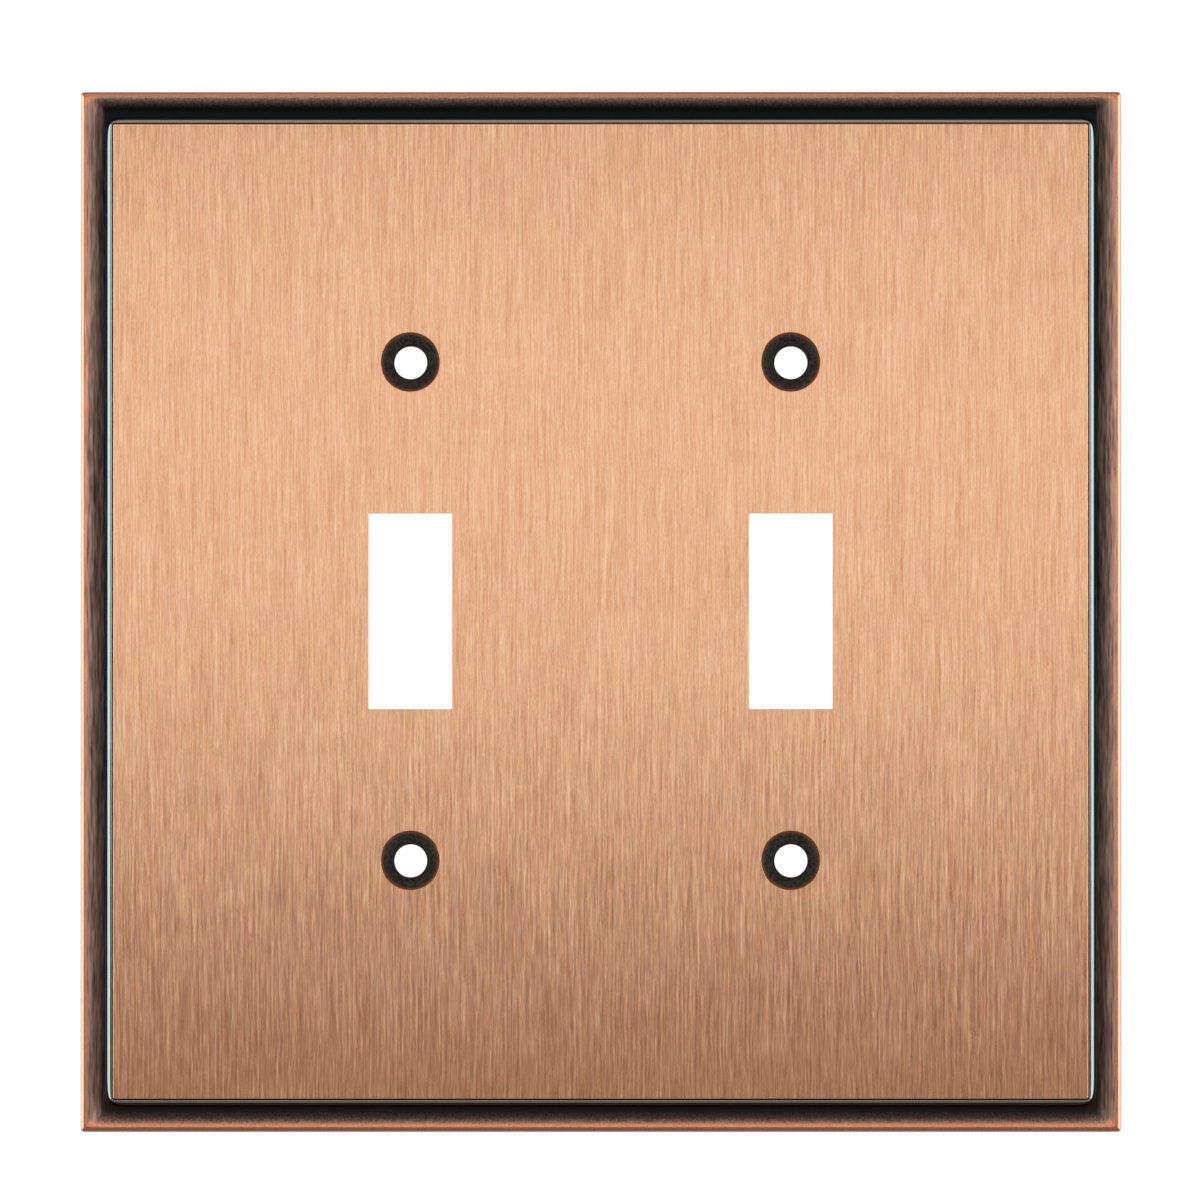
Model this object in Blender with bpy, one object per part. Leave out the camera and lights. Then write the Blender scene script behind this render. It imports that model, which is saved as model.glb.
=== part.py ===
"""Two-gang wall plate for toggle switches: die-cast base, bonding film and brushed copper face panel.

The wall is the plane y = 0, the front faces -Y and +Z is up. The origin is the plate's middle on
the wall plane. A standoff is a distance from the wall towards the front, so it lies at -y.
"""

import math

import bmesh
import bpy
from mathutils import Vector

MM = 0.001

# Plate outline and the spacings that every two-gang device box fixes
PLATE_SIZE = 126.0 * MM
PLATE_DEPTH = 7.0 * MM
GANG_SPACING = 46.04 * MM
SCREW_SPACING = 60.33 * MM
TOGGLE_WIDTH = 10.1 * MM
TOGGLE_HEIGHT = 23.7 * MM

# Screw holes, for a 6-32 oval-head screw
SCREW_HOLE_RADIUS = 2.0 * MM
COUNTERSINK_RADIUS = 3.5 * MM
COUNTERSINK_HALF_ANGLE = math.radians(41.0)

# Face panel
PANEL_SIZE = 118.0 * MM
PANEL_THICKNESS = 0.6 * MM
PANEL_EDGE_BREAK = 0.1 * MM
PANEL_CORNER = 0.2 * MM
PANEL_HOLE_RADIUS = 3.55 * MM
TOGGLE_CORNER = 0.15 * MM

# Bonding film
FACE_GAP = 0.3 * MM
FILM_SIZE = 116.0 * MM
FILM_THICKNESS = 0.3 * MM
FILM_CORNER = 1.0 * MM
FILM_HOLE_RADIUS = 5.5 * MM
FILM_TOGGLE_MARGIN = 1.4 * MM

# Heights of the stack, from the front back to the wall
PANEL_BACK = PLATE_DEPTH - PANEL_THICKNESS
FILM_BACK = PANEL_BACK - FACE_GAP - FILM_THICKNESS
SEAT_STANDOFF = FILM_BACK - FACE_GAP
PAD_STANDOFF = PANEL_BACK - FACE_GAP

# Lip and wall round the panel
LIP_GAP = 0.24 * MM
SEAT_HALF = PANEL_SIZE / 2 + LIP_GAP
LIP_STANDOFF = PLATE_DEPTH - 0.2 * MM
LIP_CREST_RADIUS = 0.08 * MM
LIP_ROUND_WIDTH = 0.46 * MM
LIP_ROUND_HEIGHT = 0.8 * MM
WALL_FOOT_HALF = SEAT_HALF + 0.62 * MM
SEAT_CORNER = 0.35 * MM
LIP_CORNER_GROWTH = 2.0
WALL_CORNER = 1.6 * MM

# Border outside the wall
VALLEY_STANDOFF = 3.6 * MM
VALLEY_COVE_RADIUS = 0.3 * MM
BORDER_STANDOFF = 4.0 * MM
RIM_ROUND_WIDTH = 0.6 * MM
RIM_ROUND_HEIGHT = 0.9 * MM
RIM_CORNER = 0.45 * MM

# Hollow back
RIM_WIDTH = 1.8 * MM
BORDER_CEILING = 2.0 * MM
ISLAND_CEILING = 4.2 * MM
ISLAND_HOLLOW_HALF = 58.4 * MM
RIB_WIDTH = 1.8 * MM
CAST_EMBED = 0.8 * MM
BOSS_STANDOFF = 1.2 * MM
BOSS_END_RADIUS = 4.3 * MM
BOSS_ROOT_RADIUS = 4.6 * MM
PAD_RADIUS = 5.0 * MM
COLLAR_WIDTH = 1.2 * MM
COLLAR_HEIGHT = 1.2 * MM
COLLAR_CORNER = 0.8 * MM
BASE_TOGGLE_MARGIN = 0.2 * MM

# Mesh fineness
CORNER_STEPS = 4
ARC_STEPS = 4
CIRCLE_STEPS = 48
CUT_PAST = 0.6 * MM
SHARP_ANGLE = math.radians(35.0)


# ---- scene and materials ----


def clear_scene():
    for item in list(bpy.data.objects):
        bpy.data.objects.remove(item, do_unlink=True)


def make_material(name, colour, metallic, roughness):
    material = bpy.data.materials.new(name)
    material.use_nodes = True
    shader = material.node_tree.nodes["Principled BSDF"]
    shader.inputs["Base Color"].default_value = (*colour, 1.0)
    shader.inputs["Metallic"].default_value = metallic
    shader.inputs["Roughness"].default_value = roughness
    return material


def shade(mesh):
    """Smooth shading on round faces; faces square to an axis stay flat."""
    mesh.shade_smooth()
    mesh.set_sharp_from_angle(angle=SHARP_ANGLE)
    for polygon in mesh.polygons:
        if max(abs(component) for component in polygon.normal) > 0.9999:
            polygon.use_smooth = False


def make_object(name, bm, material=None):
    """An object from a finished bmesh; with no material it is a cutter, kept out of the model."""
    bmesh.ops.recalc_face_normals(bm, faces=bm.faces)
    mesh = bpy.data.meshes.new(name)
    bm.to_mesh(mesh)
    bm.free()
    shade(mesh)
    item = bpy.data.objects.new(name, mesh)
    bpy.context.scene.collection.objects.link(item)
    if material is None:
        item.display_type = "WIRE"
        item.hide_render = True
    else:
        mesh.materials.append(material)
    return item


def add_boolean(target, operation, tool):
    modifier = target.modifiers.new(tool.name, "BOOLEAN")
    modifier.operation = operation
    modifier.solver = "EXACT"
    modifier.object = tool


# ---- rings and lofts ----


def circle_ring(centre, radius, standoff):
    """Points round a circle parallel to the wall; centre is (x, z)."""
    points = []
    for step in range(CIRCLE_STEPS):
        angle = 2 * math.pi * step / CIRCLE_STEPS
        points.append(
            Vector((centre[0] + radius * math.cos(angle), -standoff, centre[1] + radius * math.sin(angle)))
        )
    return points


def rectangle_ring(centre, half_width, half_height, corner, standoff):
    """Points round a rectangle with rounded corners, parallel to the wall; centre is (x, z)."""
    points = []
    for quarter in range(4):
        side_x = 1 if quarter in (0, 3) else -1
        side_z = 1 if quarter in (0, 1) else -1
        pivot_x = centre[0] + side_x * (half_width - corner)
        pivot_z = centre[1] + side_z * (half_height - corner)
        for step in range(CORNER_STEPS + 1):
            angle = math.pi / 2 * (quarter + step / CORNER_STEPS)
            points.append(
                Vector((pivot_x + corner * math.cos(angle), -standoff, pivot_z + corner * math.sin(angle)))
            )
    return points


def square_ring(half, corner, standoff):
    return rectangle_ring((0.0, 0.0), half, half, corner, standoff)


def add_loft(bm, rings):
    """A closed body through rings that all have the same number of points."""
    loops = [[bm.verts.new(point) for point in ring] for ring in rings]
    count = len(loops[0])
    for near, far in zip(loops, loops[1:]):
        for i in range(count):
            j = (i + 1) % count
            bm.faces.new((near[i], near[j], far[j], far[i]))
    bm.faces.new(loops[0])
    bm.faces.new(loops[-1])


def add_turned(bm, centre, profile):
    """A round body from (radius, standoff) pairs."""
    add_loft(bm, [circle_ring(centre, radius, standoff) for radius, standoff in profile])


def add_block(bm, centre, half_width, half_height, corner, near, far):
    """A rectangular body between two standoffs."""
    add_loft(
        bm,
        [
            rectangle_ring(centre, half_width, half_height, corner, near),
            rectangle_ring(centre, half_width, half_height, corner, far),
        ],
    )


def screw_centres():
    return [
        (side_x * GANG_SPACING / 2, side_z * SCREW_SPACING / 2) for side_x in (-1, 1) for side_z in (-1, 1)
    ]


def toggle_centres():
    return [(side_x * GANG_SPACING / 2, 0.0) for side_x in (-1, 1)]


def toggle_cutter(name, margin, near, far):
    """Both toggle openings, each grown by a margin all round."""
    half_width = TOGGLE_WIDTH / 2 + margin
    half_height = TOGGLE_HEIGHT / 2 + margin
    bm = bmesh.new()
    for centre in toggle_centres():
        add_block(bm, centre, half_width, half_height, TOGGLE_CORNER + margin, near, far)
    return make_object(name, bm)


def round_cutter(name, profile):
    """The same round cut at each of the four screw positions."""
    bm = bmesh.new()
    for centre in screw_centres():
        add_turned(bm, centre, profile)
    return make_object(name, bm)


# ---- base casting ----


def arc_pairs(centre, radii, start, end):
    """(half size, standoff) pairs on an ellipse arc; 0 degrees points outwards and 90 to the front."""
    pairs = []
    for step in range(ARC_STEPS + 1):
        angle = math.radians(start + (end - start) * step / ARC_STEPS)
        pairs.append((centre[0] + radii[0] * math.cos(angle), centre[1] + radii[1] * math.sin(angle)))
    return pairs


def lip_pairs():
    """(half size, standoff) pairs over the lip: a tight inner edge, then a long round outer side."""
    crest_half = SEAT_HALF + LIP_CREST_RADIUS
    inner = arc_pairs((crest_half, LIP_STANDOFF - LIP_CREST_RADIUS), (LIP_CREST_RADIUS,) * 2, 180, 90)
    outer = arc_pairs(
        (crest_half, LIP_STANDOFF - LIP_ROUND_HEIGHT), (LIP_ROUND_WIDTH, LIP_ROUND_HEIGHT), 90, 0
    )
    return inner + outer[1:]


def rise_pairs(start, end):
    """(half size, standoff) pairs between the ends of the border's soft rise from the valley to the rim."""
    pairs = []
    for step in range(1, ARC_STEPS):
        share = step / ARC_STEPS
        ease = (1 - math.cos(math.pi * share)) / 2
        pairs.append((start[0] + (end[0] - start[0]) * share, start[1] + (end[1] - start[1]) * ease))
    return pairs


def front_profile():
    """(half size, standoff, corner radius) from the panel's seat, over lip and border, to the wall."""
    valley_centre = (WALL_FOOT_HALF + VALLEY_COVE_RADIUS, VALLEY_STANDOFF + VALLEY_COVE_RADIUS)
    rim_centre = (PLATE_SIZE / 2 - RIM_ROUND_WIDTH, BORDER_STANDOFF - RIM_ROUND_HEIGHT)
    profile = [(SEAT_HALF, SEAT_STANDOFF, SEAT_CORNER)]
    for half, standoff in lip_pairs():
        profile.append((half, standoff, SEAT_CORNER + (half - SEAT_HALF) * LIP_CORNER_GROWTH))
    for half, standoff in arc_pairs(valley_centre, (VALLEY_COVE_RADIUS,) * 2, 185, 270):
        profile.append((half, standoff, WALL_CORNER))
    for half, standoff in rise_pairs((valley_centre[0], VALLEY_STANDOFF), (rim_centre[0], BORDER_STANDOFF)):
        profile.append((half, standoff, RIM_CORNER))
    for half, standoff in arc_pairs(rim_centre, (RIM_ROUND_WIDTH, RIM_ROUND_HEIGHT), 90, 0):
        profile.append((half, standoff, RIM_CORNER))
    profile.append((PLATE_SIZE / 2, 0.0, RIM_CORNER))
    return profile


def pocket_cutter(name, half, ceiling):
    """One level of the hollow back, as a left and a right pocket that leave the middle rib standing."""
    bm = bmesh.new()
    half_width = (half - RIB_WIDTH / 2) / 2
    for side in (-1, 1):
        centre = (side * (RIB_WIDTH / 2 + half_width), 0.0)
        add_block(bm, centre, half_width, half, RIM_CORNER, -CUT_PAST, ceiling)
    return make_object(name, bm)


def screw_bosses():
    """Round bosses behind the screw holes, each with the pad that stops short of the panel."""
    root = ISLAND_CEILING + CAST_EMBED
    bm = bmesh.new()
    for centre in screw_centres():
        add_turned(
            bm,
            centre,
            [
                (BOSS_END_RADIUS, BOSS_STANDOFF),
                (BOSS_ROOT_RADIUS, root),
                (PAD_RADIUS, root),
                (PAD_RADIUS, PAD_STANDOFF),
            ],
        )
    return make_object("screw_bosses", bm)


def toggle_collars():
    """Raised frames behind the toggle openings; the openings are cut through them afterwards."""
    margin = BASE_TOGGLE_MARGIN + COLLAR_WIDTH
    bm = bmesh.new()
    for centre in toggle_centres():
        add_block(
            bm,
            centre,
            TOGGLE_WIDTH / 2 + margin,
            TOGGLE_HEIGHT / 2 + margin,
            COLLAR_CORNER,
            ISLAND_CEILING - COLLAR_HEIGHT,
            ISLAND_CEILING + CAST_EMBED,
        )
    return make_object("toggle_collars", bm)


def countersunk_holes():
    cone_depth = (COUNTERSINK_RADIUS - SCREW_HOLE_RADIUS) / math.tan(COUNTERSINK_HALF_ANGLE)
    past_radius = COUNTERSINK_RADIUS + CUT_PAST * math.tan(COUNTERSINK_HALF_ANGLE)
    return round_cutter(
        "countersunk_holes",
        [
            (SCREW_HOLE_RADIUS, BOSS_STANDOFF - CUT_PAST),
            (SCREW_HOLE_RADIUS, PAD_STANDOFF - cone_depth),
            (past_radius, PAD_STANDOFF + CUT_PAST),
        ],
    )


def make_base():
    bm = bmesh.new()
    add_loft(bm, [square_ring(half, corner, standoff) for half, standoff, corner in front_profile()])
    material = make_material("antique_copper", (0.085, 0.055, 0.045), 0.85, 0.42)
    base = make_object("base_casting", bm, material)
    border_pocket = pocket_cutter("border_pocket", PLATE_SIZE / 2 - RIM_WIDTH, BORDER_CEILING)
    island_pocket = pocket_cutter("island_pocket", ISLAND_HOLLOW_HALF, ISLAND_CEILING)
    near = ISLAND_CEILING - COLLAR_HEIGHT - CUT_PAST
    far = SEAT_STANDOFF + CUT_PAST
    toggles = toggle_cutter("base_toggles", BASE_TOGGLE_MARGIN, near, far)
    add_boolean(base, "DIFFERENCE", border_pocket)
    add_boolean(base, "DIFFERENCE", island_pocket)
    add_boolean(base, "UNION", screw_bosses())
    add_boolean(base, "UNION", toggle_collars())
    add_boolean(base, "DIFFERENCE", countersunk_holes())
    add_boolean(base, "DIFFERENCE", toggles)


# ---- bonding film and face panel ----


def make_film():
    film_front = FILM_BACK + FILM_THICKNESS
    bm = bmesh.new()
    add_block(bm, (0.0, 0.0), FILM_SIZE / 2, FILM_SIZE / 2, FILM_CORNER, FILM_BACK, film_front)
    film = make_object("adhesive_film", bm, make_material("adhesive", (0.75, 0.74, 0.68), 0.0, 0.55))
    near = FILM_BACK - CUT_PAST
    far = film_front + CUT_PAST
    toggles = toggle_cutter("film_toggles", FILM_TOGGLE_MARGIN, near, far)
    holes = round_cutter("film_holes", [(FILM_HOLE_RADIUS, near), (FILM_HOLE_RADIUS, far)])
    add_boolean(film, "DIFFERENCE", toggles)
    add_boolean(film, "DIFFERENCE", holes)


def make_panel():
    """A flat sheet whose outer edge and screw holes have a small edge break at the front."""
    break_standoff = PLATE_DEPTH - PANEL_EDGE_BREAK
    bm = bmesh.new()
    add_loft(
        bm,
        [
            square_ring(PANEL_SIZE / 2, PANEL_CORNER, PANEL_BACK),
            square_ring(PANEL_SIZE / 2, PANEL_CORNER, break_standoff),
            square_ring(PANEL_SIZE / 2 - PANEL_EDGE_BREAK, PANEL_CORNER / 2, PLATE_DEPTH),
        ],
    )
    panel = make_object("face_panel", bm, make_material("brushed_copper", (0.80, 0.45, 0.30), 1.0, 0.33))
    near = PANEL_BACK - CUT_PAST
    hole_profile = [
        (PANEL_HOLE_RADIUS, near),
        (PANEL_HOLE_RADIUS, break_standoff),
        (PANEL_HOLE_RADIUS + PANEL_EDGE_BREAK + CUT_PAST, PLATE_DEPTH + CUT_PAST),
    ]
    add_boolean(panel, "DIFFERENCE", toggle_cutter("panel_toggles", 0.0, near, PLATE_DEPTH + CUT_PAST))
    add_boolean(panel, "DIFFERENCE", round_cutter("panel_holes", hole_profile))


def main():
    clear_scene()
    make_base()
    make_film()
    make_panel()


main()
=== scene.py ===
import math

import bmesh
import bpy
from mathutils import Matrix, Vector


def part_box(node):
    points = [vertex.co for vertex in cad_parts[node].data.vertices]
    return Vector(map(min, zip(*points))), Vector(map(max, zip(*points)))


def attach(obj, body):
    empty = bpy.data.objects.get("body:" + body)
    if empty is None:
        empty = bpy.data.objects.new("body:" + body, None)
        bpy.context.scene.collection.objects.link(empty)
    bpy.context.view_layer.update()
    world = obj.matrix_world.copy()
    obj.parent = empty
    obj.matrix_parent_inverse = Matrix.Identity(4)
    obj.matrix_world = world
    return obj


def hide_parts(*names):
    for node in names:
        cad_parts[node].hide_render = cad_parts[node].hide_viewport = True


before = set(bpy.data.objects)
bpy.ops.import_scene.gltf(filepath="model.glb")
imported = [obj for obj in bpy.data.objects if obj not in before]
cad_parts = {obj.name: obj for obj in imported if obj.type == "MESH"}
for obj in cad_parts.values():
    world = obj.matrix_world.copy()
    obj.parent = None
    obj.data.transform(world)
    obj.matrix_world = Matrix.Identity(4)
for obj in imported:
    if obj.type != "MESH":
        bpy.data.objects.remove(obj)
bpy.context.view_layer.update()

MM = 0.001

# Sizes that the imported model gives. A standoff is a distance from the wall, so it lies at -y.
base_low, base_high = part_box("base_casting")
panel_low, panel_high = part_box("face_panel")
PLATE_HALF = base_high.x
LIP_STANDOFF = -base_low.y
PANEL_HALF = panel_high.x
PANEL_FRONT = -panel_low.y
PANEL_BACK = -panel_high.y
PAD_STANDOFF = PANEL_BACK - 0.3 * MM
SEAT_STANDOFF = PANEL_BACK - 0.9 * MM

# Openings
GANG_SPACING = 46.04 * MM
SCREW_SPACING = 60.33 * MM
TOGGLE_HALF_WIDTH = 5.05 * MM
TOGGLE_HALF_HEIGHT = 11.85 * MM
BASE_TOGGLE_MARGIN = 0.2 * MM
SCREW_HOLE_RADIUS = 2.0 * MM
COUNTERSINK_RADIUS = 3.5 * MM
COUNTERSINK_HALF_ANGLE = math.radians(41.0)
PANEL_HOLE_RADIUS = 3.55 * MM
PANEL_EDGE = 0.08 * MM

# Front of the base, from the seat outwards
SEAT_HALF = PANEL_HALF + 0.13 * MM
LIP_HALF = PANEL_HALF + 0.78 * MM
WALL_FOOT_HALF = PANEL_HALF + 0.86 * MM
VALLEY_STANDOFF = 3.6 * MM
BORDER_STANDOFF = 4.0 * MM

# Hollow back
RIM_WIDTH = 1.8 * MM
RIB_WIDTH = 1.8 * MM
BORDER_CEILING = 2.0 * MM
ISLAND_CEILING = 4.2 * MM
ISLAND_HOLLOW_HALF = 58.4 * MM
BOSS_STANDOFF = 1.2 * MM
COLLAR_HEIGHT = 1.2 * MM
CAST_EMBED = 0.8 * MM
CUT_PAST = 0.6 * MM

# Mesh fineness
CORNER_STEPS = 10
CIRCLE_STEPS = 128


# ---- rings and lofts ----


def circle_ring(centre, radius, standoff):
    """Points round a circle parallel to the wall; centre is (x, z)."""
    points = []
    for step in range(CIRCLE_STEPS):
        angle = 2 * math.pi * step / CIRCLE_STEPS
        points.append(
            Vector((centre[0] + radius * math.cos(angle), -standoff, centre[1] + radius * math.sin(angle)))
        )
    return points


def rectangle_ring(centre, half_width, half_height, corner, standoff):
    """Points round a rectangle with rounded corners, parallel to the wall; centre is (x, z)."""
    points = []
    for quarter in range(4):
        side_x = 1 if quarter in (0, 3) else -1
        side_z = 1 if quarter in (0, 1) else -1
        pivot_x = centre[0] + side_x * (half_width - corner)
        pivot_z = centre[1] + side_z * (half_height - corner)
        for step in range(CORNER_STEPS + 1):
            angle = math.pi / 2 * (quarter + step / CORNER_STEPS)
            points.append(
                Vector((pivot_x + corner * math.cos(angle), -standoff, pivot_z + corner * math.sin(angle)))
            )
    return points


def soft_square_ring(half, corner_inset, standoff):
    """A square whose corners stay corner_inset short of the sharp corner along both axes, on a Lame curve."""
    straight_share = 0.95
    power = half * math.log(2) / corner_inset
    start = math.asin(straight_share ** (power / 2))
    points = []
    for quarter in range(4):
        turn = math.pi / 2 * quarter
        for step in range(CORNER_STEPS + 1):
            angle = start + (math.pi / 2 - 2 * start) * step / CORNER_STEPS
            x = half * math.cos(angle) ** (2 / power)
            z = half * math.sin(angle) ** (2 / power)
            turned_x = x * math.cos(turn) - z * math.sin(turn)
            turned_z = x * math.sin(turn) + z * math.cos(turn)
            points.append(Vector((turned_x, -standoff, turned_z)))
    return points


def add_loft(bm, rings):
    """A closed body through rings that all have the same number of points."""
    loops = [[bm.verts.new(point) for point in ring] for ring in rings]
    count = len(loops[0])
    for near, far in zip(loops, loops[1:]):
        for i in range(count):
            j = (i + 1) % count
            bm.faces.new((near[i], near[j], far[j], far[i]))
    bm.faces.new(loops[0])
    bm.faces.new(loops[-1])


def add_turned(bm, centre, profile):
    """A round body from (radius, standoff) pairs."""
    add_loft(bm, [circle_ring(centre, radius, standoff) for radius, standoff in profile])


def add_frame_block(bm, centre, half_width, half_height, profile):
    """A rectangular body from (growth, standoff, corner) triples; growth widens all four sides."""
    rings = [
        rectangle_ring(centre, half_width + growth, half_height + growth, corner, standoff)
        for growth, standoff, corner in profile
    ]
    add_loft(bm, rings)


def arc(centre, radii, start, end, steps):
    """(half size, standoff) pairs on an ellipse arc; 0 degrees points outwards and 90 to the front."""
    pairs = []
    for step in range(steps + 1):
        angle = math.radians(start + (end - start) * step / steps)
        pairs.append((centre[0] + radii[0] * math.cos(angle), centre[1] + radii[1] * math.sin(angle)))
    return pairs


def screw_centres():
    return [
        (side_x * GANG_SPACING / 2, side_z * SCREW_SPACING / 2) for side_x in (-1, 1) for side_z in (-1, 1)
    ]


def toggle_centres():
    return [(side_x * GANG_SPACING / 2, 0.0) for side_x in (-1, 1)]


# ---- objects ----


def new_object(name, bm):
    bmesh.ops.recalc_face_normals(bm, faces=bm.faces)
    mesh = bpy.data.meshes.new(name)
    bm.to_mesh(mesh)
    bm.free()
    item = bpy.data.objects.new(name, mesh)
    bpy.context.scene.collection.objects.link(item)
    return item


def combine(target, steps):
    """Applies boolean steps, each (operation, tool object), and removes the tools."""
    for operation, tool in steps:
        modifier = target.modifiers.new(tool.name, "BOOLEAN")
        modifier.operation = operation
        modifier.solver = "EXACT"
        modifier.object = tool
    graph = bpy.context.evaluated_depsgraph_get()
    result = bpy.data.meshes.new_from_object(target.evaluated_get(graph))
    target.modifiers.clear()
    target.data = result
    for _, tool in steps:
        bpy.data.objects.remove(tool, do_unlink=True)


def shade(item):
    """Smooth shading on curved faces; faces square to an axis stay flat."""
    item.data.shade_smooth()
    item.data.set_sharp_from_angle(angle=math.radians(35.0))
    for polygon in item.data.polygons:
        if max(abs(component) for component in polygon.normal) > 0.99999:
            polygon.use_smooth = False


def finish_piece(item, node, material):
    item.data.materials.clear()
    item.data.materials.append(material)
    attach(item, "root")
    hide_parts(node)


# ---- base casting ----


def lip_rings():
    """The lip: a tight edge beside the panel, then a long round outer side with soft corners."""
    crest_radius = 0.08 * MM
    round_height = 0.8 * MM
    seat_inset = 0.1 * MM
    outer_inset = 0.5 * MM
    crest_half = SEAT_HALF + crest_radius
    round_width = LIP_HALF - crest_half
    rings = [soft_square_ring(SEAT_HALF, seat_inset, SEAT_STANDOFF)]
    for half, standoff in arc(
        (crest_half, LIP_STANDOFF - crest_radius), (crest_radius, crest_radius), 180, 90, 3
    ):
        rings.append(soft_square_ring(half, seat_inset, standoff))
    round_centre = (crest_half, LIP_STANDOFF - round_height)
    for half, standoff in arc(round_centre, (round_width, round_height), 90, 0, 12)[1:]:
        share = (half - crest_half) / round_width
        rings.append(soft_square_ring(half, seat_inset + (outer_inset - seat_inset) * share, standoff))
    return rings


def border_rings():
    """The border: a cove at the lip's foot, a shallow rise to the rim, the rim's round and the outer wall."""
    cove_radius = 0.3 * MM
    rim_width = 0.48 * MM
    rim_height = 0.9 * MM
    valley_inset = 0.5 * MM
    rim_inset = 0.12 * MM
    back_edge = 0.15 * MM
    valley_end = WALL_FOOT_HALF + cove_radius
    rise_end = PLATE_HALF - rim_width
    rings = []
    cove_centre = (valley_end, VALLEY_STANDOFF + cove_radius)
    for half, standoff in arc(cove_centre, (cove_radius, cove_radius), 184, 270, 6):
        rings.append(soft_square_ring(half, valley_inset, standoff))
    rise_steps = 12
    for step in range(1, rise_steps + 1):
        share = step / rise_steps
        ease = (1 - math.cos(math.pi * share)) / 2
        half = valley_end + (rise_end - valley_end) * share
        standoff = VALLEY_STANDOFF + (BORDER_STANDOFF - VALLEY_STANDOFF) * ease
        rings.append(soft_square_ring(half, valley_inset + (rim_inset - valley_inset) * share, standoff))
    rim_centre = (rise_end, BORDER_STANDOFF - rim_height)
    for half, standoff in arc(rim_centre, (rim_width, rim_height), 90, 0, 10)[1:]:
        rings.append(soft_square_ring(half, rim_inset, standoff))
    rings.append(soft_square_ring(PLATE_HALF, rim_inset, back_edge))
    rings.append(soft_square_ring(PLATE_HALF - back_edge, rim_inset, 0.0))
    return rings


def pocket_tool(name, half, ceiling):
    """One level of the hollow back: a left and a right pocket with drafted sides and a rounded floor."""
    round_radius = 0.5 * MM
    draft = 0.06 * MM
    corner = 1.2 * MM
    half_width = (half - RIB_WIDTH / 2) / 2
    profile = [(draft, -CUT_PAST, corner), (draft, 0.0, corner)]
    for growth, standoff in arc((-round_radius, ceiling - round_radius), (round_radius,) * 2, 0, 90, 5):
        profile.append((growth, standoff, corner))
    bm = bmesh.new()
    for side in (-1, 1):
        centre = (side * (RIB_WIDTH / 2 + half_width), 0.0)
        add_frame_block(bm, centre, half_width, half, profile)
    return new_object(name, bm)


def boss_tool():
    """Screw bosses with a rounded end, draft and a root fillet, and the pads under the panel."""
    end_radius = 4.3 * MM
    root_radius = 4.55 * MM
    pad_radius = 5.0 * MM
    edge = 0.2 * MM
    fillet = 0.5 * MM
    pad_edge = 0.08 * MM
    embedded = ISLAND_CEILING + CAST_EMBED
    end = arc((end_radius - edge, 0.0), (edge, edge), 90, 0, 4)
    profile = [(radius, BOSS_STANDOFF + edge - rise) for radius, rise in end]
    profile += arc((root_radius + fillet, ISLAND_CEILING - fillet), (fillet, fillet), 180, 90, 5)
    profile += [
        (root_radius + fillet, embedded),
        (pad_radius, embedded),
        (pad_radius, PAD_STANDOFF - pad_edge),
        (pad_radius - pad_edge, PAD_STANDOFF),
    ]
    bm = bmesh.new()
    for centre in screw_centres():
        add_turned(bm, centre, profile)
    return new_object("boss_tool", bm)


def collar_tool():
    """Raised frames behind the toggle openings, with a rounded edge and a root fillet."""
    wall = 1.2 * MM
    margin = BASE_TOGGLE_MARGIN + wall
    edge = 0.2 * MM
    fillet = 0.4 * MM
    corner = 0.8 * MM
    low = ISLAND_CEILING - COLLAR_HEIGHT
    outline = [(-edge, low), (-edge / 4, low + edge / 4), (0.0, low + edge)]
    outline += arc((fillet, ISLAND_CEILING - fillet), (fillet, fillet), 180, 90, 4)
    outline.append((fillet, ISLAND_CEILING + CAST_EMBED))
    profile = [(growth, standoff, corner + growth) for growth, standoff in outline]
    bm = bmesh.new()
    for centre in toggle_centres():
        add_frame_block(bm, centre, TOGGLE_HALF_WIDTH + margin, TOGGLE_HALF_HEIGHT + margin, profile)
    return new_object("collar_tool", bm)


def hole_tool():
    """Countersunk screw holes with a small edge break at the back."""
    slope = math.tan(COUNTERSINK_HALF_ANGLE)
    cone_start = PAD_STANDOFF - (COUNTERSINK_RADIUS - SCREW_HOLE_RADIUS) / slope
    break_size = 0.15 * MM
    profile = [
        (SCREW_HOLE_RADIUS + break_size + CUT_PAST, BOSS_STANDOFF - CUT_PAST),
        (SCREW_HOLE_RADIUS, BOSS_STANDOFF + break_size),
        (SCREW_HOLE_RADIUS, cone_start),
        (COUNTERSINK_RADIUS + CUT_PAST * slope, PAD_STANDOFF + CUT_PAST),
    ]
    bm = bmesh.new()
    for centre in screw_centres():
        add_turned(bm, centre, profile)
    return new_object("hole_tool", bm)


def base_toggle_tool():
    """Toggle openings through the casting, wider at the back by the mould's draft."""
    draft = 0.08 * MM
    profile = [
        (BASE_TOGGLE_MARGIN + draft, ISLAND_CEILING - COLLAR_HEIGHT - CUT_PAST, 0.4 * MM),
        (BASE_TOGGLE_MARGIN, SEAT_STANDOFF + CUT_PAST, 0.35 * MM),
    ]
    bm = bmesh.new()
    for centre in toggle_centres():
        add_frame_block(bm, centre, TOGGLE_HALF_WIDTH, TOGGLE_HALF_HEIGHT, profile)
    return new_object("base_toggle_tool", bm)


def ejector_tool():
    """Shallow round marks that the mould's ejector pins leave in the hollow."""
    radius = 2.6 * MM
    depth = 0.12 * MM
    bm = bmesh.new()
    for x in (-46.0 * MM, -10.0 * MM, 10.0 * MM, 46.0 * MM):
        for z in (-48.0 * MM, 0.0, 48.0 * MM):
            add_turned(bm, (x, z), [(radius, ISLAND_CEILING - CUT_PAST), (radius, ISLAND_CEILING + depth)])
    return new_object("ejector_tool", bm)


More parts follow.
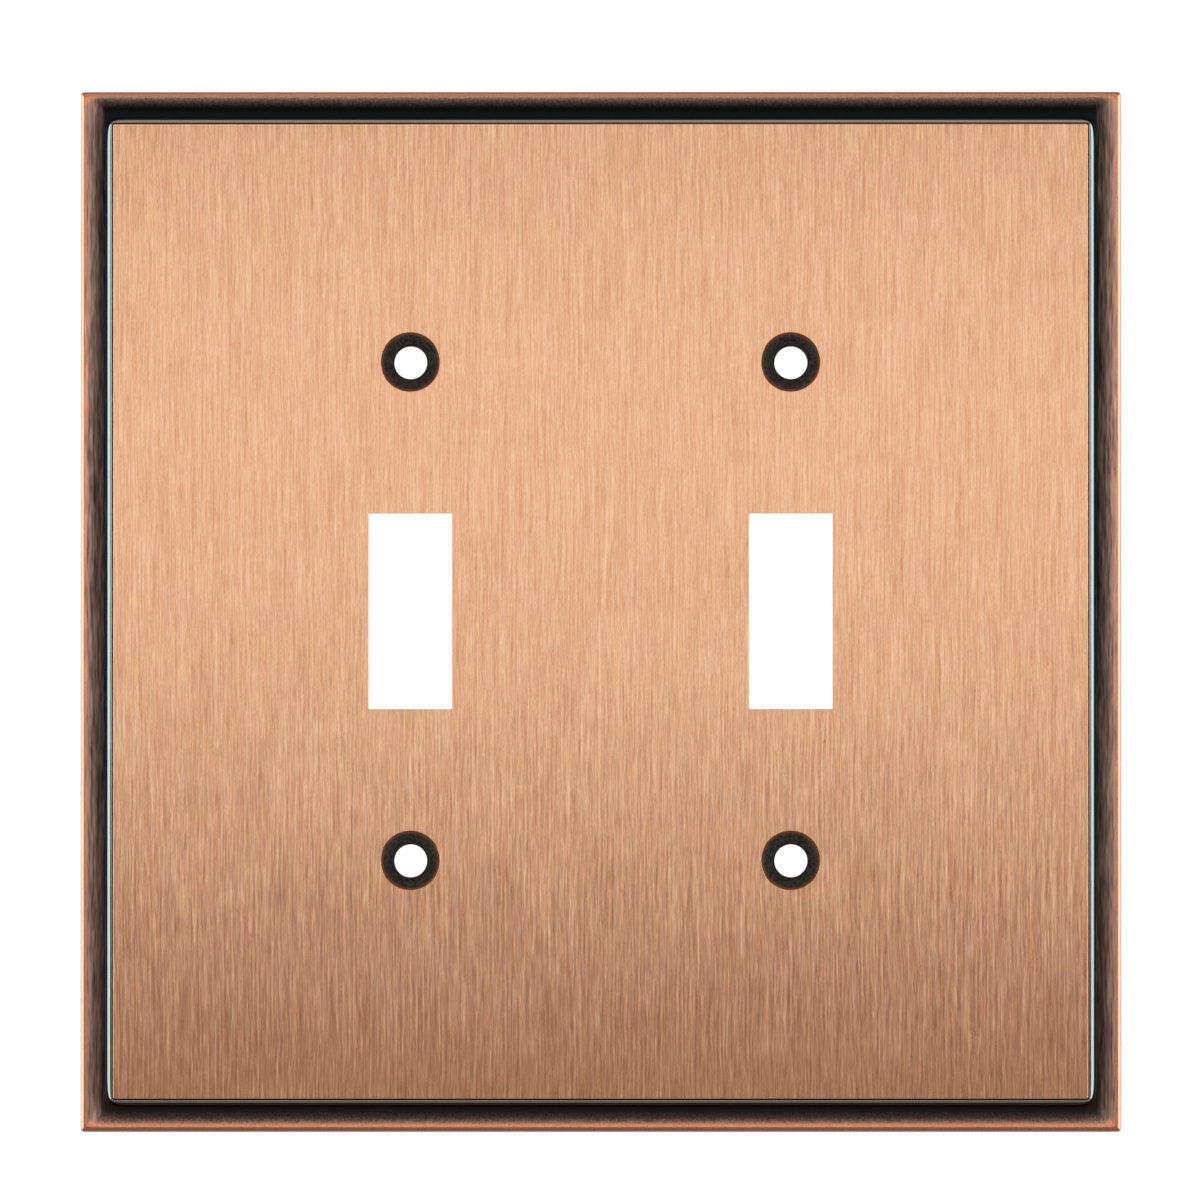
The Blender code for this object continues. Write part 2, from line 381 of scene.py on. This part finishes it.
def build_base():
    bm = bmesh.new()
    add_loft(bm, lip_rings() + border_rings())
    base = new_object("base_casting_body", bm)
    combine(
        base,
        [
            ("DIFFERENCE", pocket_tool("border_pocket_tool", PLATE_HALF - RIM_WIDTH, BORDER_CEILING)),
            ("DIFFERENCE", pocket_tool("island_pocket_tool", ISLAND_HOLLOW_HALF, ISLAND_CEILING)),
            ("DIFFERENCE", ejector_tool()),
            ("UNION", boss_tool()),
            ("UNION", collar_tool()),
            ("DIFFERENCE", hole_tool()),
            ("DIFFERENCE", base_toggle_tool()),
        ],
    )
    shade(base)
    return base


# ---- face panel ----


def panel_toggle_tool():
    """Toggle openings through the panel, with a crisp edge at the front."""
    corner = 0.15 * MM
    bevel = 0.03 * MM
    profile = [
        (0.0, PANEL_BACK - CUT_PAST, corner),
        (0.0, PANEL_FRONT - bevel, corner),
        (bevel + CUT_PAST, PANEL_FRONT + CUT_PAST, 2 * corner),
    ]
    bm = bmesh.new()
    for centre in toggle_centres():
        add_frame_block(bm, centre, TOGGLE_HALF_WIDTH, TOGGLE_HALF_HEIGHT, profile)
    return new_object("panel_toggle_tool", bm)


def panel_hole_tool():
    """Screw holes through the panel, with a rounded edge at the front."""
    round_centre = (PANEL_HOLE_RADIUS + PANEL_EDGE, PANEL_FRONT - PANEL_EDGE)
    profile = [(PANEL_HOLE_RADIUS, PANEL_BACK - CUT_PAST)]
    profile += arc(round_centre, (PANEL_EDGE, PANEL_EDGE), 180, 90, 5)
    profile.append((PANEL_HOLE_RADIUS + PANEL_EDGE, PANEL_FRONT + CUT_PAST))
    bm = bmesh.new()
    for centre in screw_centres():
        add_turned(bm, centre, profile)
    return new_object("panel_hole_tool", bm)


def build_panel():
    """The brushed sheet: a rounded edge at the front and a small break at the back."""
    back_edge = 0.04 * MM
    corner = 0.2 * MM
    profile = [(-back_edge, PANEL_BACK, corner), (0.0, PANEL_BACK + back_edge, corner)]
    for growth, standoff in arc((-PANEL_EDGE, PANEL_FRONT - PANEL_EDGE), (PANEL_EDGE, PANEL_EDGE), 0, 90, 5):
        profile.append((growth, standoff, corner))
    bm = bmesh.new()
    add_frame_block(bm, (0.0, 0.0), PANEL_HALF, PANEL_HALF, profile)
    panel = new_object("face_panel_sheet", bm)
    combine(panel, [("DIFFERENCE", panel_toggle_tool()), ("DIFFERENCE", panel_hole_tool())])
    shade(panel)
    add_face_uv(panel)
    return panel


def add_face_uv(item):
    """U across and V up the face, so that the brushing has one direction; depth keeps the edges' UVs open."""
    layer = item.data.uv_layers.new(name="face")
    span = 2 * PLATE_HALF
    for loop in item.data.loops:
        point = item.data.vertices[loop.vertex_index].co
        layer.data[loop.index].uv = (0.5 + (point.x + point.y) / span, 0.5 + (point.z + point.y) / span)


# ---- material helpers ----


def new_material(name):
    """(material, node tree, shader) with an empty Principled set-up."""
    material = bpy.data.materials.new(name)
    material.use_nodes = True
    tree = material.node_tree
    return material, tree, tree.nodes["Principled BSDF"]


def add_node(tree, kind, inputs=None, **settings):
    node = tree.nodes.new(kind)
    for key, value in settings.items():
        setattr(node, key, value)
    for key, value in (inputs or {}).items():
        if isinstance(value, bpy.types.NodeSocket):
            tree.links.new(value, node.inputs[key])
        else:
            node.inputs[key].default_value = value
    return node


def calc(tree, operation, first, second=0.0, third=0.0, clamp=False):
    node = add_node(tree, "ShaderNodeMath", {0: first, 1: second, 2: third}, operation=operation)
    node.use_clamp = clamp
    return node.outputs[0]


def smooth_step(tree, value, low, high, to_low=0.0, to_high=1.0):
    node = add_node(
        tree,
        "ShaderNodeMapRange",
        {"Value": value, "From Min": low, "From Max": high, "To Min": to_low, "To Max": to_high},
        interpolation_type="SMOOTHSTEP",
    )
    return node.outputs["Result"]


def mix_colour(tree, factor, first, second, blend="MIX"):
    node = add_node(tree, "ShaderNodeMix", data_type="RGBA", blend_type=blend)
    for index, value in ((0, factor), (6, first), (7, second)):
        if isinstance(value, bpy.types.NodeSocket):
            tree.links.new(value, node.inputs[index])
        elif index == 0:
            node.inputs[index].default_value = value
        else:
            node.inputs[index].default_value = (*value, 1.0)
    return node.outputs[2]


def object_place(tree):
    """The Object coordinate and its x, y and z."""
    coordinate = add_node(tree, "ShaderNodeTexCoord").outputs["Object"]
    split = add_node(tree, "ShaderNodeSeparateXYZ", {0: coordinate})
    return coordinate, split.outputs[0], split.outputs[1], split.outputs[2]


def noise(tree, coordinate, per_metre, detail=2.0, roughness=0.5):
    """Noise whose features are 1 / per_metre long along each axis."""
    mapping = add_node(tree, "ShaderNodeMapping", {"Vector": coordinate, "Scale": per_metre})
    node = add_node(
        tree,
        "ShaderNodeTexNoise",
        {"Vector": mapping.outputs[0], "Scale": 1.0, "Detail": detail, "Roughness": roughness},
    )
    return node.outputs["Fac"]


# ---- materials ----


def brush_lines(tree, place, widths, lengths, weights):
    """Brush lines as a sum of stretched noises, centred on zero; widths and lengths are in metres."""
    total = 0.0
    for width, length, weight in zip(widths, lengths, weights):
        lines = noise(tree, place, (1 / width, 1 / MM, 1 / length), detail=1.0)
        total = calc(tree, "MULTIPLY_ADD", calc(tree, "SUBTRACT", lines, 0.5), weight, total)
    return total


def brush_lean(tree, place):
    """A normal that leans a little with each brush line, so the lines show where the light falls off."""
    lean = brush_lines(tree, place, (0.19 * MM, 0.3 * MM), (3.0 * MM, 14.0 * MM), (0.033, 0.033))
    colour = add_node(
        tree, "ShaderNodeCombineXYZ", {0: 0.5, 1: calc(tree, "ADD", lean, 0.5), 2: 1.0}
    ).outputs[0]
    return add_node(tree, "ShaderNodeNormalMap", {"Color": colour}, uv_map="face").outputs[0]


def brushed_copper():
    """Satin copper with vertical brush lines of mixed length and soft pink and yellow patches."""
    material, tree, shader = new_material("brushed_copper")
    place, x, _, z = object_place(tree)
    sway = calc(tree, "SUBTRACT", noise(tree, place, (60, 60, 90)), 0.5)
    swayed = add_node(
        tree, "ShaderNodeCombineXYZ", {0: calc(tree, "MULTIPLY_ADD", sway, 0.5 * MM, x), 1: 0.0, 2: z}
    ).outputs[0]
    shade_lines = brush_lines(
        tree,
        swayed,
        (0.12 * MM, 0.14 * MM, 0.17 * MM, 0.4 * MM, 2.5 * MM),
        (0.5 * MM, 2.2 * MM, 9.0 * MM, 25.0 * MM, 12.0 * MM),
        (0.5, 0.75, 0.8, 0.45, 0.2),
    )
    level = calc(tree, "ADD", shade_lines, 0.5, clamp=True)
    colour = mix_colour(tree, level, (0.64, 0.304, 0.146), (0.937, 0.694, 0.476))
    patches = noise(tree, place, (500, 500, 260))
    pink_to_yellow = smooth_step(tree, patches, 0.35, 0.65)
    tint = mix_colour(tree, pink_to_yellow, (1.0, 0.975, 0.992), (0.988, 1.0, 0.973))
    colour = mix_colour(tree, 1.0, colour, tint, blend="MULTIPLY")
    shader.inputs["Metallic"].default_value = 1.0
    shader.inputs["Anisotropic"].default_value = 0.6
    tree.links.new(colour, shader.inputs["Base Color"])
    rough = calc(tree, "MULTIPLY_ADD", shade_lines, -0.03, 0.265)
    tree.links.new(rough, shader.inputs["Roughness"])
    tangent = add_node(tree, "ShaderNodeTangent", direction_type="UV_MAP", uv_map="face")
    tree.links.new(tangent.outputs[0], shader.inputs["Tangent"])
    tree.links.new(brush_lean(tree, swayed), shader.inputs["Normal"])
    return material


def screw_distance(tree, across, up):
    """Distance from the axis of the nearest screw hole."""
    side = calc(tree, "SUBTRACT", across, GANG_SPACING / 2)
    rise = calc(tree, "SUBTRACT", up, SCREW_SPACING / 2)
    squares = calc(tree, "MULTIPLY_ADD", side, side, calc(tree, "MULTIPLY", rise, rise))
    return calc(tree, "SQRT", squares)


def corner_wear(tree, across, up):
    """How much nearer the rim a point of the border counts for being near a corner of the plate."""
    corner = 3.0 * MM
    past_x = calc(tree, "MAXIMUM", calc(tree, "SUBTRACT", across, PLATE_HALF - corner), 0.0)
    past_z = calc(tree, "MAXIMUM", calc(tree, "SUBTRACT", up, PLATE_HALF - corner), 0.0)
    squares = calc(tree, "MULTIPLY_ADD", past_x, past_x, calc(tree, "MULTIPLY", past_z, past_z))
    extra = calc(tree, "SUBTRACT", calc(tree, "SQRT", squares), calc(tree, "MAXIMUM", past_x, past_z))
    return calc(tree, "MULTIPLY", extra, 0.55)


def border_wear_and_painted_highlight(tree, inset, ragged, reach, width, power, strength):
    """(bare copper, brown tone), both 0 to 1, along one pair of sides; inset is the distance from them.

    The brown tone is partly worn oxide and partly a painted highlight.
    """
    past = calc(tree, "MULTIPLY_ADD", ragged, 0.7 * MM, calc(tree, "SUBTRACT", inset, reach))
    worn = smooth_step(tree, past, 0.3 * MM, -0.35 * MM)
    fade = calc(tree, "DIVIDE", calc(tree, "SUBTRACT", width, past), width, clamp=True)
    fade = calc(tree, "POWER", fade, power)
    # Brown tone fading inwards: partly worn oxide, partly a painted highlight.
    wear_and_painted_highlight = calc(tree, "MULTIPLY", fade, calc(tree, "MULTIPLY_ADD", ragged, -2.2, 1.0))
    return worn, calc(tree, "MULTIPLY", wear_and_painted_highlight, strength)


def border_colour_and_painted_light(tree, across, up, z, streaks, mottle):
    """(colour, bare copper): copper at the rim, then a brown tone that fades to black oxide; the brown
    tone is partly worn oxide and partly a painted highlight.

    Both reach further in on the sides, where the brushing ran along the border, and below the panel;
    the longer reach there is also painted light, where the lamps light the border more. The oxide has
    painted shade: darker and bluish in the upper half, lighter in the lower half.
    """
    unworn = calc(tree, "SUBTRACT", PLATE_HALF, corner_wear(tree, across, up))
    side_inset = calc(tree, "SUBTRACT", unworn, across)
    # Sides: copper and brown tone reach further in, partly from the brushing, partly as painted light.
    side_worn, side_wear_and_painted_highlight = border_wear_and_painted_highlight(tree, side_inset, streaks, 0.75 * MM, 2.2 * MM, 1.1, 1.0)
    # Lower half: copper and brown tone reach further in, partly as painted light where the border is lit
    # more.
    is_low = smooth_step(tree, z, -20 * MM, -40 * MM)
    end_inset = calc(tree, "SUBTRACT", unworn, up)
    end_reach = calc(tree, "MULTIPLY_ADD", is_low, 0.45 * MM, 0.65 * MM)
    end_worn, end_wear_and_painted_highlight = border_wear_and_painted_highlight(tree, end_inset, mottle, end_reach, 1.4 * MM, 1.5, 0.65)
    worn = calc(tree, "MAXIMUM", side_worn, end_worn)
    wear_and_painted_highlight = calc(tree, "MAXIMUM", side_wear_and_painted_highlight, end_wear_and_painted_highlight)
    # Painted shade: the oxide is darker and bluish in the upper half and lighter in the lower half.
    oxide = mix_colour(tree, is_low, (0.014, 0.018, 0.02), (0.031, 0.027, 0.026))
    colour = mix_colour(tree, wear_and_painted_highlight, oxide, (0.62, 0.44, 0.37))
    return mix_colour(tree, worn, colour, (0.80, 0.38, 0.24)), worn


def lip_gloss_and_painted_reflection(tree, standoff, is_side):
    """(mask, colour) of the glossy lip with a painted reflection, wider on the sides and cyan outside."""
    # Painted highlight: the glossy edge is made wider on the sides.
    lip_edge = calc(tree, "MULTIPLY_ADD", is_side, -0.47 * MM, LIP_STANDOFF - 0.05 * MM)
    mask = smooth_step(tree, calc(tree, "SUBTRACT", standoff, lip_edge), -0.1 * MM, 0.0)
    crest = smooth_step(tree, standoff, LIP_STANDOFF - 0.28 * MM, LIP_STANDOFF)
    # Painted reflection: cyan on the lip's outer side, pale at its crest.
    return mask, mix_colour(tree, crest, (0.1, 0.33, 0.37), (0.41, 0.37, 0.335))


def cone_finish(tree, place, across, up, on_front):
    """(mask, colour) of the screw cones: dull stained oxide, reddish at the mouth."""
    radius = screw_distance(tree, across, up)
    mask = calc(tree, "MULTIPLY", smooth_step(tree, radius, 3.9 * MM, 3.7 * MM), on_front)
    stain = smooth_step(tree, noise(tree, place, (2600, 2600, 2600), detail=3.0), 0.34, 0.66)
    dull = mix_colour(tree, stain, (0.014, 0.011, 0.011), (0.055, 0.05, 0.045))
    mouth = smooth_step(tree, radius, 3.15 * MM, 3.5 * MM)
    return mask, mix_colour(tree, mouth, dull, (0.19, 0.05, 0.015))


def antique_copper():
    """Black oxide over copper: worn at the rim with a painted highlight and painted shade on the border,
    a painted reflection on the glossy lip, dull in the cones, plain at the back.
    """
    material, tree, shader = new_material("antique_copper")
    place, x, y, z = object_place(tree)
    across = calc(tree, "ABSOLUTE", x)
    up = calc(tree, "ABSOLUTE", z)
    standoff = calc(tree, "MULTIPLY", y, -1.0)
    is_side = smooth_step(tree, calc(tree, "SUBTRACT", across, up), -0.5 * MM, 1.8 * MM)
    streaks = brush_lines(
        tree, place, (0.18 * MM, 0.3 * MM, 0.7 * MM), (2.0 * MM, 6.0 * MM, 15.0 * MM), (0.6, 0.7, 0.4)
    )
    mottle = calc(tree, "SUBTRACT", noise(tree, place, (4000, 4000, 3400), detail=3.0, roughness=0.7), 0.5)
    ragged = calc(tree, "MULTIPLY_ADD", is_side, calc(tree, "SUBTRACT", streaks, mottle), mottle)

    # Border colour: worn copper and oxide, with a painted highlight and painted shade.
    border, worn = border_colour_and_painted_light(tree, across, up, z, streaks, mottle)
    edge_inset = calc(tree, "SUBTRACT", PLATE_HALF, calc(tree, "MAXIMUM", across, up))
    on_front = smooth_step(tree, standoff, 2.2 * MM, 3.0 * MM)
    in_border = calc(tree, "MULTIPLY", on_front, smooth_step(tree, edge_inset, 5.0 * MM, 4.5 * MM))
    lip, painted_lip_reflection = lip_gloss_and_painted_reflection(tree, standoff, is_side)
    cone, dull = cone_finish(tree, place, across, up, on_front)

    colour = mix_colour(tree, in_border, (0.035, 0.028, 0.025), border)
    # Painted reflection on the lip.
    colour = mix_colour(tree, lip, colour, painted_lip_reflection)
    colour = mix_colour(tree, cone, colour, dull)
    rough = calc(tree, "MULTIPLY_ADD", worn, -0.12, calc(tree, "MULTIPLY_ADD", ragged, 0.3, 0.42))
    rough = calc(tree, "MULTIPLY_ADD", lip, calc(tree, "SUBTRACT", 0.14, rough), rough)
    rough = calc(tree, "MULTIPLY_ADD", cone, calc(tree, "SUBTRACT", 0.5, rough), rough)
    shader.inputs["Specular IOR Level"].default_value = 0.3
    tree.links.new(colour, shader.inputs["Base Color"])
    tree.links.new(calc(tree, "SUBTRACT", 1.0, cone), shader.inputs["Metallic"])
    tree.links.new(rough, shader.inputs["Roughness"])
    bump = add_node(tree, "ShaderNodeBump", {"Strength": 0.25, "Distance": 0.04 * MM, "Height": ragged})
    tree.links.new(bump.outputs[0], shader.inputs["Normal"])
    return material


def bonding_film():
    """Cloudy acrylic film with fine bubbles."""
    material, tree, shader = new_material("bonding_film")
    place, _, _, _ = object_place(tree)
    bubbles = noise(tree, place, (900, 900, 900), detail=3.0)
    colour = mix_colour(tree, bubbles, (0.62, 0.60, 0.53), (0.80, 0.79, 0.74))
    tree.links.new(colour, shader.inputs["Base Color"])
    tree.links.new(smooth_step(tree, bubbles, 0.3, 0.7, 0.4, 0.6), shader.inputs["Roughness"])
    return material


# ---- studio ----


def add_area_light(name, place, size, radiance, colour=(1.0, 1.0, 1.0), aim=(0.0, 0.0, 0.0), round_box=False):
    """A soft box: radiance is what it looks like in a mirror, so its power follows from its area."""
    data = bpy.data.lights.new(name, "AREA")
    data.shape = "ELLIPSE" if round_box else "RECTANGLE"
    data.size, data.size_y = size
    fill = math.pi / 4 if round_box else 1.0
    data.energy = radiance * math.pi * size[0] * size[1] * fill
    data.color = colour
    lamp = bpy.data.objects.new(name, data)
    bpy.context.scene.collection.objects.link(lamp)
    lamp.location = place
    lamp.rotation_euler = (Vector(aim) - Vector(place)).to_track_quat("-Z", "Y").to_euler()
    lamp.visible_camera = False
    return lamp


def plain_material(name, colour, roughness):
    material, _, shader = new_material(name)
    shader.inputs["Base Color"].default_value = (*colour, 1.0)
    shader.inputs["Roughness"].default_value = roughness
    return material


def build_world():
    """A nearly dark studio for the metal to reflect, and white behind the plate."""
    world = bpy.data.worlds.new("studio")
    bpy.context.scene.world = world
    world.use_nodes = True
    tree = world.node_tree
    dim = tree.nodes["Background"]
    dim.inputs["Color"].default_value = (1.0, 1.0, 1.0, 1.0)
    dim.inputs["Strength"].default_value = 0.03
    white = add_node(tree, "ShaderNodeBackground", {"Color": (1.0, 1.0, 1.0, 1.0), "Strength": 1.05})
    path = add_node(tree, "ShaderNodeLightPath")
    mix = add_node(
        tree,
        "ShaderNodeMixShader",
        {0: path.outputs["Is Camera Ray"], 1: dim.outputs[0], 2: white.outputs[0]},
    )
    tree.links.new(mix.outputs[0], tree.nodes["World Output"].inputs["Surface"])


def build_floor():
    bm = bmesh.new()
    half = 3.0
    drop = 0.25
    bm.faces.new([bm.verts.new(point) for point in (
        (-half, -half, -drop), (half, -half, -drop), (half, half, -drop), (-half, half, -drop)
    )])
    floor = new_object("floor", bm)
    floor.data.materials.append(plain_material("pale_floor", (0.86, 0.86, 0.86), 0.9))
    floor.visible_glossy = False


def build_lights():
    """A wide key strip, cards before and behind, a box on every side and soft light from overhead.

    Nothing shiny mirrors the light from overhead.
    """
    key_rise = 0.036
    add_area_light(
        "key_box", (0.0, -0.5, key_rise), (0.75, 0.13), 1.01, aim=(0.0, 0.0, key_rise), round_box=True
    )
    add_area_light("warm_card", (0.0, -1.2, 0.0), (3.0, 3.0), 0.2, (1.0, 0.48, 0.32))
    add_area_light("back_card", (0.0, 0.4, 0.0), (3.0, 3.0), 0.4)
    add_area_light("upper_box", (0.0, -0.35, 0.55), (1.0, 0.8), 0.55)
    add_area_light("lower_box", (0.0, -0.3, -0.55), (1.0, 0.7), 0.2)
    for name, side in (("left_box", -1), ("right_box", 1)):
        add_area_light(name, (side * 0.6, 0.0, 0.0), (1.0, 0.6), 2.0)
    top_box = add_area_light("top_box", (0.0, 0.0, 1.5), (2.0, 2.0), 3.0)
    top_box.visible_glossy = False


def build_camera():
    """A long lens a little below and right of square-on; the plate fills 0.867 of the picture's width."""
    bpy.context.scene.view_settings.view_transform = "Standard"
    distance = 4.0
    below = math.radians(1.0)
    right = math.radians(0.5)
    plate_share = 0.867
    data = bpy.data.cameras.new("camera")
    data.sensor_width = 36.0
    data.lens = data.sensor_width * (distance - BORDER_STANDOFF) / (2 * PLATE_HALF / plate_share)
    data.shift_x = -0.00085
    data.shift_y = 0.0102
    data.clip_end = 20.0
    camera = bpy.data.objects.new("camera", data)
    bpy.context.scene.collection.objects.link(camera)
    back = Vector((math.sin(right), -math.cos(right) * math.cos(below), -math.sin(below)))
    camera.location = back * distance
    camera.rotation_euler = back.to_track_quat("Z", "Y").to_euler()
    bpy.context.scene.camera = camera


def finish_film():
    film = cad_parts["adhesive_film"]
    film.data.materials.clear()
    film.data.materials.append(bonding_film())


finish_piece(build_base(), "base_casting", antique_copper())
finish_piece(build_panel(), "face_panel", brushed_copper())
finish_film()
build_world()
build_floor()
build_lights()
build_camera()
